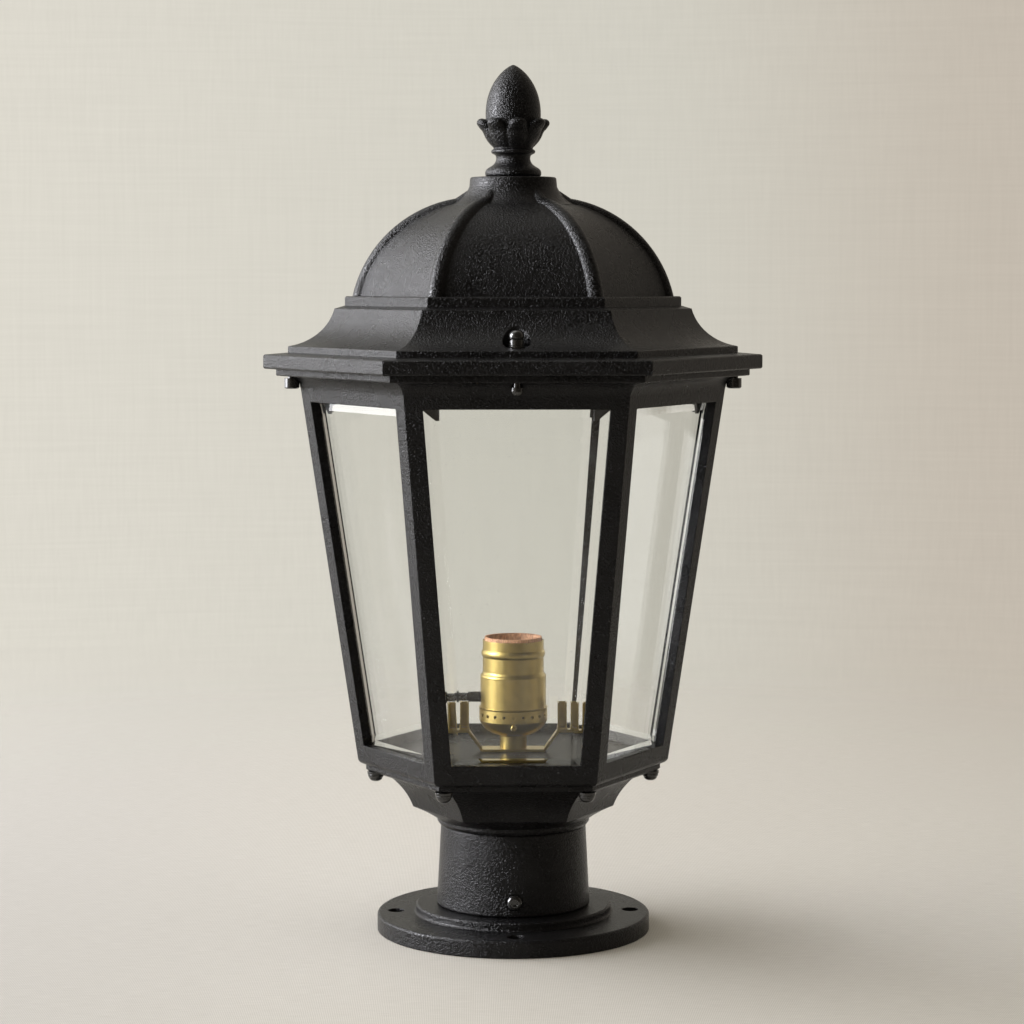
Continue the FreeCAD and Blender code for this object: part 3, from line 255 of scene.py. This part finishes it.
phenolic = {
    "dark": (0.035, 0.026, 0.021, 1), "light": (0.07, 0.055, 0.045, 1), "cloud": 1.8 * mm, "detail": 4.0,
    "roughness": 0.42, "dullness": 0.1, "dent": 0.02 * mm, "edge": 0.25 * mm, "shader": {},
}


def mouldedPhenolic():
    return cloudy("mouldedPhenolic", phenolic)


greenDye = {
    "dark": (0.02, 0.16, 0.05, 1), "light": (0.05, 0.30, 0.10, 1), "cloud": 1.2 * mm, "detail": 3.0,
    "roughness": 0.3, "dullness": 0.15, "dent": 0.02 * mm, "edge": 0.2 * mm, "shader": {"Metallic": 0.7},
}


def greenScrew():
    return cloudy("greenScrew", greenDye)


glass = {
    "clear": (0.985, 0.992, 0.985, 1), "refraction": 1.5, "specular": 0.2,
    "cut": (0.70, 0.84, 0.78, 1), "cutRoughness": 0.28, "sideways": 0.45,
    "shadow": (0.975, 0.985, 0.98, 1),
    "dust": (0.8, 0.79, 0.76, 1), "dustRoughness": 0.8,
    "speck": 1.1 * mm, "specks": (0.76, 0.80), "speckShare": 0.35,
    "wipe": (34, 34, 8), "smears": (0.45, 0.8), "smearShare": 0.03,
}


# Float glass. Its cut sides are ground, so they scatter, and a few specks and faint smears lie on its faces.
def clearGlass():
    tree = newFinish("clearGlass")
    outwards = tree.node("VectorMath", {"operation": "MULTIPLY"}, {0: tree.place(), 1: (1, 1, 0)})
    outwards = tree.node("VectorMath", {"operation": "NORMALIZE"}, {0: outwards})
    facing = tree.node("NewGeometry", output="True Normal")
    facing = tree.node("VectorMath", {"operation": "DOT_PRODUCT"}, {0: facing, 1: outwards}, "Value")
    facing = tree.node("Math", {"operation": "ABSOLUTE"}, {0: facing})
    ground = facing < glass["sideways"]
    body = tree.principled({
        "Base Color": tree.mix(ground, glass["clear"], glass["cut"]),
        "Roughness": ground * glass["cutRoughness"],
        "Transmission Weight": 1.0, "IOR": glass["refraction"], "Specular IOR Level": glass["specular"],
    })
    speck = tree.noise(glass["speck"], detail=1.0).ramp(*glass["specks"])
    smear = tree.grain(glass["wipe"]).ramp(*glass["smears"])
    dust = tree.principled({"Base Color": glass["dust"], "Roughness": glass["dustRoughness"]})
    body = tree.layered(speck * glass["speckShare"] + smear * glass["smearShare"], body, dust)
    clear = tree.node("BsdfTransparent", {}, {"Color": glass["shadow"]})
    return tree.show(tree.layered(tree.ray("Is Shadow Ray"), body, clear))


plate = {
    "black": (0.006, 0.006, 0.006, 1), "grey": (0.014, 0.013, 0.012, 1),
    "film": 26 * mm, "films": (0.4, 0.8), "filmShare": 0.5,
    "dust": (0.35, 0.34, 0.32, 1), "speck": 0.9 * mm, "specks": (0.72, 0.78), "speckShare": 0.5,
    "roughness": 0.2, "filmDullness": 0.12, "speckDullness": 0.3, "specular": 0.04,
    "wave": 9 * mm, "waveDepth": 0.02 * mm, "waveStrength": 0.3, "edge": 0.3 * mm,
}


# The plate under the lamp holder: smooth gloss black with a little dust
def glossPlate():
    tree = newFinish("glossPlate")
    film = tree.noise(plate["film"], detail=4.0)
    speck = tree.noise(plate["speck"], detail=1.0).ramp(*plate["specks"])
    colour = tree.mix(film.ramp(*plate["films"]) * plate["filmShare"], plate["black"], plate["grey"])
    colour = tree.mix(speck * plate["speckShare"], colour, plate["dust"])
    wave = tree.noise(plate["wave"])
    return tree.show(tree.principled({
        "Base Color": colour, "Specular IOR Level": plate["specular"],
        "Roughness": plate["roughness"] + plate["filmDullness"] * film + plate["speckDullness"] * speck,
        "Normal": tree.bump(wave, plate["waveDepth"], plate["waveStrength"], tree.rounded(plate["edge"])),
    }))


liner = {
    "dark": (0.36, 0.155, 0.062, 1), "light": (0.66, 0.36, 0.19, 1), "roughness": 0.78,
    "fibre": (1400, 1400, 420), "fibres": (0.3, 0.7), "fibreDepth": 0.06 * mm, "fibreStrength": 0.7,
    "stain": (0.28, 0.12, 0.05, 1), "blotch": 3 * mm, "blotches": (0.45, 0.75), "stainShare": 0.4,
}


# Vulcanised fibre paper, with short fibres along the tube
def fibreLiner():
    tree = newFinish("fibreLiner")
    fibre = tree.grain(liner["fibre"], detail=3.0)
    blotch = tree.noise(liner["blotch"], detail=3.0)
    colour = tree.mix(fibre.ramp(*liner["fibres"]), liner["dark"], liner["light"])
    colour = tree.mix(blotch.ramp(*liner["blotches"]) * liner["stainShare"], colour, liner["stain"])
    return tree.show(tree.principled({
        "Base Color": colour, "Roughness": liner["roughness"],
        "Normal": tree.bump(fibre, liner["fibreDepth"], liner["fibreStrength"]),
    }))


# The neck is where the knob's metal shows, given along X.
knob = {
    "dark": (0.012, 0.012, 0.013, 1), "light": (0.026, 0.027, 0.028, 1), "cloud": 0.9 * mm,
    "metal": (0.36, 0.37, 0.37, 1), "neck": (-28.75 * mm, -24.6 * mm),
    "roughness": 0.2, "dullness": 0.14, "dent": 0.02 * mm, "edge": 0.15 * mm,
}


# Black plastic, but bare metal on the knob's fluted neck
def blackKnob():
    tree = newFinish("blackKnob")
    cloud = tree.noise(knob["cloud"])
    along = tree.axis("X", tree.place())
    start, end = knob["neck"]
    neck = (along > start) * (along < end)
    plastic = tree.mix(cloud, knob["dark"], knob["light"])
    return tree.show(tree.principled({
        "Base Color": tree.mix(neck, plastic, knob["metal"]), "Metallic": neck,
        "Roughness": knob["roughness"] + knob["dullness"] * cloud,
        "Normal": tree.bump(cloud, knob["dent"], dentStrength, tree.rounded(knob["edge"])),
    }))


finishes = {
    "powder_coat": powderCoat(), "socket_brass": satinBrass(), "plated_steel": platedSteel(),
    "black_oxide": blackFastener(), "clear_glass": clearGlass(), "clip_steel": clipPaint(),
    "gloss_black": glossPlate(), "brown_liner": fibreLiner(), "insulator": mouldedPhenolic(),
    "black_plastic": blackKnob(), "green_screw": greenScrew(),
}
slots = {row["node"]: row["material_slot"] for row in frame["record"]["subparts"]}
for name, node in frame["nodes"].items():
    node.data.materials.clear()
    node.data.materials.append(finishes[slots[name]])
print("finishes are on", len(slots), "nodes")


# Radii, widths and heights above the foot are in millimetres. The turned body's pairs of radius and height
# stop where the egg starts. Each petal station gives the distance from the axis, the height, the lean
# outwards in degrees, half the depth and half the width.
finialLook = {
    "foot": 396.3 * mm, "sides": 96,
    "turned": (
        (14.0, 0.0), (14.7, 0.9), (14.8, 2.4), (14.5, 3.7), (13.4, 4.8), (11.6, 5.7), (10.0, 6.9),
        (9.1, 8.4), (8.8, 10.0), (9.1, 11.3), (9.6, 11.9), (11.1, 12.3), (11.6, 13.0), (11.6, 13.9),
        (11.1, 14.5), (9.6, 14.9), (9.7, 15.3), (11.0, 17.0), (12.5, 19.5), (13.7, 24.0), (14.3, 28.5),
        (14.5, 32.3),
    ),
    "tip": 58.7, "tipRadius": 0.25, "eggSteps": 16, "eggSpread": 1.6, "eggBulge": 2.2, "eggPoint": 0.73,
    "petals": 8, "petalTurn": -82.0, "petalSides": 24,
    "stations": (
        (7.2, 15.0, 40, 1.8, 4.3), (8.6, 16.8, 38, 2.2, 4.9), (10.3, 18.6, 33, 2.5, 5.3),
        (12.1, 21.2, 26, 2.7, 5.6), (13.0, 23.5, 18, 2.7, 5.6), (13.9, 25.5, 24, 2.8, 5.5),
        (15.2, 27.2, 48, 3.1, 5.1), (16.7, 28.0, 75, 3.0, 4.6), (18.0, 28.1, 95, 2.4, 3.8),
        (18.9, 27.9, 105, 1.3, 2.3), (19.2, 27.8, 110, 0.3, 0.7),
    ),
    "voxel": 0.35 * mm, "softening": 0.5, "softness": 2,
}


# The rings of the turned body, with those of the egg worked out up to its tip
def turnedRings():
    look = finialLook
    rings = list(look["turned"])
    radius, start = rings[-1]
    for step in range(1, look["eggSteps"] + 1):
        share = 1 - (1 - step / look["eggSteps"]) ** look["eggSpread"]
        width = radius * (1 - share ** look["eggBulge"]) ** look["eggPoint"]
        rings.append((max(width, look["tipRadius"]), start + share * (look["tip"] - start)))
    return rings


# Adds a flat disc at its place and leaves it selected in edit mode
def startDisc(sides, radius, place):
    bpy.ops.object.select_all(action="DESELECT")
    bpy.ops.mesh.primitive_circle_add(vertices=sides, radius=radius, fill_type="NGON", location=place)
    bpy.ops.object.mode_set(mode="EDIT")
    bpy.ops.mesh.select_all(action="SELECT")
    return bpy.context.object


def leaveEditing():
    bpy.ops.object.mode_set(mode="OBJECT")
    bpy.ops.object.transform_apply(location=True)


def turnedBody():
    look = finialLook
    rings = turnedRings()
    body = startDisc(look["sides"], rings[0][0] * mm, (0, 0, look["foot"]))
    for (radius, height), (nextRadius, nextHeight) in zip(rings, rings[1:]):
        grow = nextRadius / radius
        centre = (0, 0, look["foot"] + nextHeight * mm)
        bpy.ops.mesh.extrude_region_move(TRANSFORM_OT_translate={"value": (0, 0, (nextHeight - height) * mm)})
        bpy.ops.transform.resize(value=(grow, grow, 1), center_override=centre)
    leaveEditing()
    return body


# A petal that leans out of the cup and rolls over at its tip, drawn along +X and then turned to its place
def petal(turn):
    look = finialLook
    away, height, lean, depth, width = look["stations"][0]
    place = (away * mm, 0, look["foot"] + height * mm)
    piece = startDisc(look["petalSides"], mm, place)  # 1 mm in radius, then as large as its station says
    bpy.ops.transform.resize(value=(depth, width, 1), center_override=place)
    bpy.ops.transform.rotate(value=-math.radians(lean), orient_axis="Y", center_override=place)
    for nextAway, nextHeight, nextLean, nextDepth, nextWidth in look["stations"][1:]:
        step = ((nextAway - away) * mm, 0, (nextHeight - height) * mm)
        place = (nextAway * mm, 0, look["foot"] + nextHeight * mm)
        grow = nextDepth / depth
        bpy.ops.mesh.extrude_region_move(TRANSFORM_OT_translate={"value": step})
        bpy.ops.transform.rotate(value=-math.radians(nextLean - lean), orient_axis="Y", center_override=place)
        bpy.ops.transform.resize(value=(grow, nextWidth / width, grow), center_override=place)
        away, height, lean, depth, width = nextAway, nextHeight, nextLean, nextDepth, nextWidth
    leaveEditing()
    piece.rotation_euler.z = math.radians(turn)
    bpy.ops.object.transform_apply(rotation=True)
    return piece


def applied(piece, kind, settings):
    modifier = piece.modifiers.new(kind.lower(), kind)
    for key, value in settings.items():
        setattr(modifier, key, value)
    bpy.ops.object.modifier_apply(modifier=modifier.name)


# The acorn finial as one casting: egg, cup and rolled petals run into each other
def finialCasting():
    look = finialLook
    petals = [petal(look["petalTurn"] + k * 360 / look["petals"]) for k in range(look["petals"])]
    body = turnedBody()
    for piece in petals:
        piece.select_set(True)
    bpy.ops.object.join()
    body.name = "finial_casting"
    applied(body, "SUBSURF", {"levels": 1, "render_levels": 1})
    applied(body, "REMESH", {"mode": "VOXEL", "voxel_size": look["voxel"]})
    applied(body, "SMOOTH", {"factor": look["softening"], "iterations": look["softness"]})
    bpy.ops.object.shade_smooth()
    body.data.materials.clear()
    body.data.materials.append(finishes["powder_coat"])
    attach(body, "lantern")
    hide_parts("finial")
    print("finial is cast in", len(body.data.polygons), "faces")


finialCasting()


# Painted shade: the cloth is lit more on the lamps' side, so it is coloured a little darker there to even it
# out.
floorLook = {
    "reach": 2.2, "sides": 128, "drop": 0.3 * mm, "fade": (0.25, 1.3),
    "cloth": (0.76, 0.735, 0.68, 1), "thread": (0.57, 0.548, 0.495, 1),
    "clothPaintedShade": (0.65, 0.635, 0.60, 1), "threadPaintedShade": (0.49, 0.475, 0.445, 1), "paintedShadeSpan": (-0.34, 0.0),
    "warp": {"Scale": 370.0, "Distortion": 1.2}, "weft": {"Scale": 330.0, "Distortion": 1.4},
    "slub": (90, 700, 90), "warpShare": 0.5, "weftShare": 0.35, "slubShare": 0.5, "weave": (0.2, 1.1),
    "depth": 0.12 * mm, "strength": 0.35, "roughness": 0.9,
}


def threadsAlong(tree, direction, look):
    inputs = {"Vector": tree.place(), "Detail": 2.0, "Detail Scale": 0.6, **look}
    return tree.node("TexWave", {"bands_direction": direction}, inputs, "Fac")


# Linen cloth under the lantern. Far away it fades into the backdrop's colour.
def linenFloor():
    tree = newFinish("linenFloor")
    warp = threadsAlong(tree, "X", floorLook["warp"])
    weft = threadsAlong(tree, "Y", floorLook["weft"])
    slub = tree.grain(floorLook["slub"], detail=3.0)
    threads = warp * floorLook["warpShare"] + weft * floorLook["weftShare"] + slub * floorLook["slubShare"]
    weave = threads.ramp(*floorLook["weave"])
    # painted shade: cloth and thread are coloured darker towards the left, where the lamps light the floor
    # more
    left = tree.mix(weave, floorLook["clothPaintedShade"], floorLook["threadPaintedShade"])
    right = tree.mix(weave, floorLook["cloth"], floorLook["thread"])
    side = tree.axis("X", tree.place()).ramp(*floorLook["paintedShadeSpan"])
    cloth = tree.principled({
        "Base Color": tree.mix(side, left, right), "Roughness": floorLook["roughness"],
        "Specular IOR Level": 0.0, "Normal": tree.bump(threads, floorLook["depth"], floorLook["strength"]),
    })
    away = tree.node("VectorMath", {"operation": "LENGTH"}, {0: tree.place()}, "Value")
    clear = tree.node("BsdfTransparent")
    return tree.show(tree.layered(away.ramp(*floorLook["fade"]), cloth, clear))


def layFloor():
    bpy.ops.object.select_all(action="DESELECT")
    bpy.ops.mesh.primitive_circle_add(vertices=floorLook["sides"], radius=floorLook["reach"],
                                      fill_type="NGON", location=(0, 0, -floorLook["drop"]))
    floor = bpy.context.object
    floor.name = "floor"
    floor.data.materials.append(linenFloor())


# The three colours run from left to right, as painted light: lighter on the lamps' side, darker to the right.
# What gloss mirrors is dimmer towards the room's dark side.
backdropLook = {
    "left": (0.735, 0.705, 0.627, 1), "middle": (0.636, 0.614, 0.540, 1), "right": (0.552, 0.497, 0.423, 1),
    "toMiddle": (-0.22, 0.10), "toRight": (0.05, 0.20),
    "upright": (900, 900, 26), "level": (26, 26, 900), "plain": 0.93, "woven": 0.07,
    "mirrored": 0.82, "darkSide": (0.36, -0.81, 0.45), "toDark": (0.35, 0.75), "darkness": 0.92,
    "darkTint": (1.0, 0.80, 0.58, 1), "rightSide": 0.75, "toRightSide": (-0.1, 0.7),
    "ambient": (1.0, 0.92, 0.79, 1), "ambientStrength": 0.42,
}


# A plain backdrop for the eye and through the glass, painted lighter on the lamps' side and darker to the
# right, a dimmer room in the gloss and a warm ambient light
def hangBackdrop():
    look = backdropLook
    world = bpy.data.worlds.new("studio")
    bpy.context.scene.world = world
    tree = Tree(world, "World")
    way = tree.node("TexCoord", output="Generated")
    across = tree.axis("X", way)
    upright = tree.grain(look["upright"], vector=way)
    level = tree.grain(look["level"], vector=way)
    weave = look["plain"] + look["woven"] * (upright + level)
    # painted light: the backdrop's colour runs from lighter on the left, where the lamps are, to darker on
    # the right
    cloth = tree.mix(across.ramp(*look["toMiddle"]), look["left"], look["middle"])
    cloth = tree.mix(across.ramp(*look["toRight"]), cloth, look["right"])
    cloth = tree.node("VectorMath", {"operation": "SCALE"}, {0: cloth, "Scale": weave})
    seen = tree.node("Background", {}, {"Color": cloth, "Strength": 1.0})

    towards = tree.node("VectorMath", {"operation": "DOT_PRODUCT"}, {0: way, 1: look["darkSide"]}, "Value")
    dark = towards.ramp(*look["toDark"])
    shade = 1 - look["darkness"] * dark
    shade = shade * (1 - (1 - look["rightSide"]) * across.ramp(*look["toRightSide"]))
    tint = tree.mix(dark, (1, 1, 1, 1), look["darkTint"])
    dim = tree.mix(1.0, cloth, tint, "MULTIPLY")
    mirrored = tree.node("Background", {}, {"Color": dim, "Strength": look["mirrored"] * shade})
    ambient = tree.node("Background", {}, {"Color": look["ambient"], "Strength": look["ambientStrength"]})

    bounced = tree.ray("Glossy Depth") > 0.5
    scattered = tree.ray("Diffuse Depth") > 0.5
    plain = (tree.ray("Is Camera Ray") + tree.ray("Is Transmission Ray")) * (1 - bounced) * (1 - scattered)
    plain = tree.node("Math", {"operation": "MINIMUM"}, {0: plain, 1: 1.0})
    glossy = (tree.ray("Is Glossy Ray") + bounced > 0.5) * (1 - scattered)
    tree.show(tree.layered(plain, tree.layered(glossy, ambient, mirrored), seen))


# Each lamp fades out over the feather at its edges. Its level is how bright its foot is, and the heights
# between which that changes to full. With onMatt off, it shows in gloss alone.
lamps = {
    "window": {
        "at": (-1.5, 0.35, 0.9), "aim": (0, 0.1, 0.5), "size": (2.6, 1.7), "feather": 0.08,
        "watts": 54.0, "colour": (0.99, 0.99, 1.03), "level": (1.15, 0.2, 0.75), "onMatt": True,
    },
    "top": {
        "at": (-0.75, 0.45, 2.1), "aim": (-0.1, 0.1, 0), "size": (2.0, 2.0), "feather": 0.3,
        "watts": 17.0, "colour": (0.98, 0.98, 0.99), "level": (1.0, 0.0, 1.0), "onMatt": True,
    },
    "side": {
        "at": (-1.5, -0.1, 0.6), "aim": (0, 0, 0.3), "size": (0.8, 1.5), "feather": 0.22,
        "watts": 165.0, "colour": (0.98, 0.98, 1.04), "level": (0.2, 0.22, 0.5), "onMatt": False,
    },
}
lampInGlass = 0.24  # how much of a lamp is left in gloss that is seen through a pane


# How bright each point of a lamp is
def feathered(data, look):
    tree = Tree(data, "Light")
    spot = tree.node("NewGeometry", output="Parametric")
    along = tree.axis("X", spot)
    rise = tree.axis("Y", spot)
    border = look["feather"]
    share = along.ramp(0, border) * (1 - along).ramp(0, border)
    share = share * rise.ramp(0, border) * (1 - rise).ramp(0, border)
    low, start, end = look["level"]
    share = share * (low + (1 - low) * rise.ramp(start, end))
    mirrored = tree.ray("Glossy Depth") > 0.5
    behind = tree.ray("Transmission Depth") > 0.5
    share = share * (1 - (1 - lampInGlass) * mirrored * behind)
    tree.show(tree.node("Emission", {}, {"Strength": share}))


def hangLamp(name, look):
    data = bpy.data.lights.new(name, "AREA")
    data.shape = "RECTANGLE"
    data.size, data.size_y = look["size"]
    data.energy = look["watts"]
    data.color = look["colour"]
    feathered(data, look)
    lamp = bpy.data.objects.new(name, data)
    bpy.context.scene.collection.objects.link(lamp)
    lamp.location = look["at"]
    lamp.rotation_euler = (Vector(look["aim"]) - Vector(look["at"])).to_track_quat("-Z", "Y").to_euler()
    lamp.visible_camera = False
    lamp.visible_diffuse = look["onMatt"]


# Metres from the axis and above the ground, and degrees down and round to the left
cameraLook = {
    "distance": 1.4858, "height": 0.3436, "tilt": 3.073, "turn": 1.04,
    "lens": 99.43, "sensor": 36.0, "shift": (-0.00121, -0.08),
}


def placeCamera():
    distance = cameraLook["distance"]
    turn = math.radians(cameraLook["turn"])
    data = bpy.data.cameras.new("camera")
    data.lens = cameraLook["lens"]
    data.sensor_width = cameraLook["sensor"]
    data.shift_x, data.shift_y = cameraLook["shift"]
    eye = bpy.data.objects.new("camera", data)
    bpy.context.scene.collection.objects.link(eye)
    eye.location = (-distance * math.sin(turn), -distance * math.cos(turn), cameraLook["height"])
    eye.rotation_euler = (math.radians(90 - cameraLook["tilt"]), 0, -turn)
    bpy.context.scene.camera = eye


layFloor()
hangBackdrop()
for name, look in lamps.items():
    hangLamp(name, look)
placeCamera()
bpy.context.scene.view_settings.view_transform = "Standard"
print("floor, backdrop,", len(lamps), "lamps and camera are set")
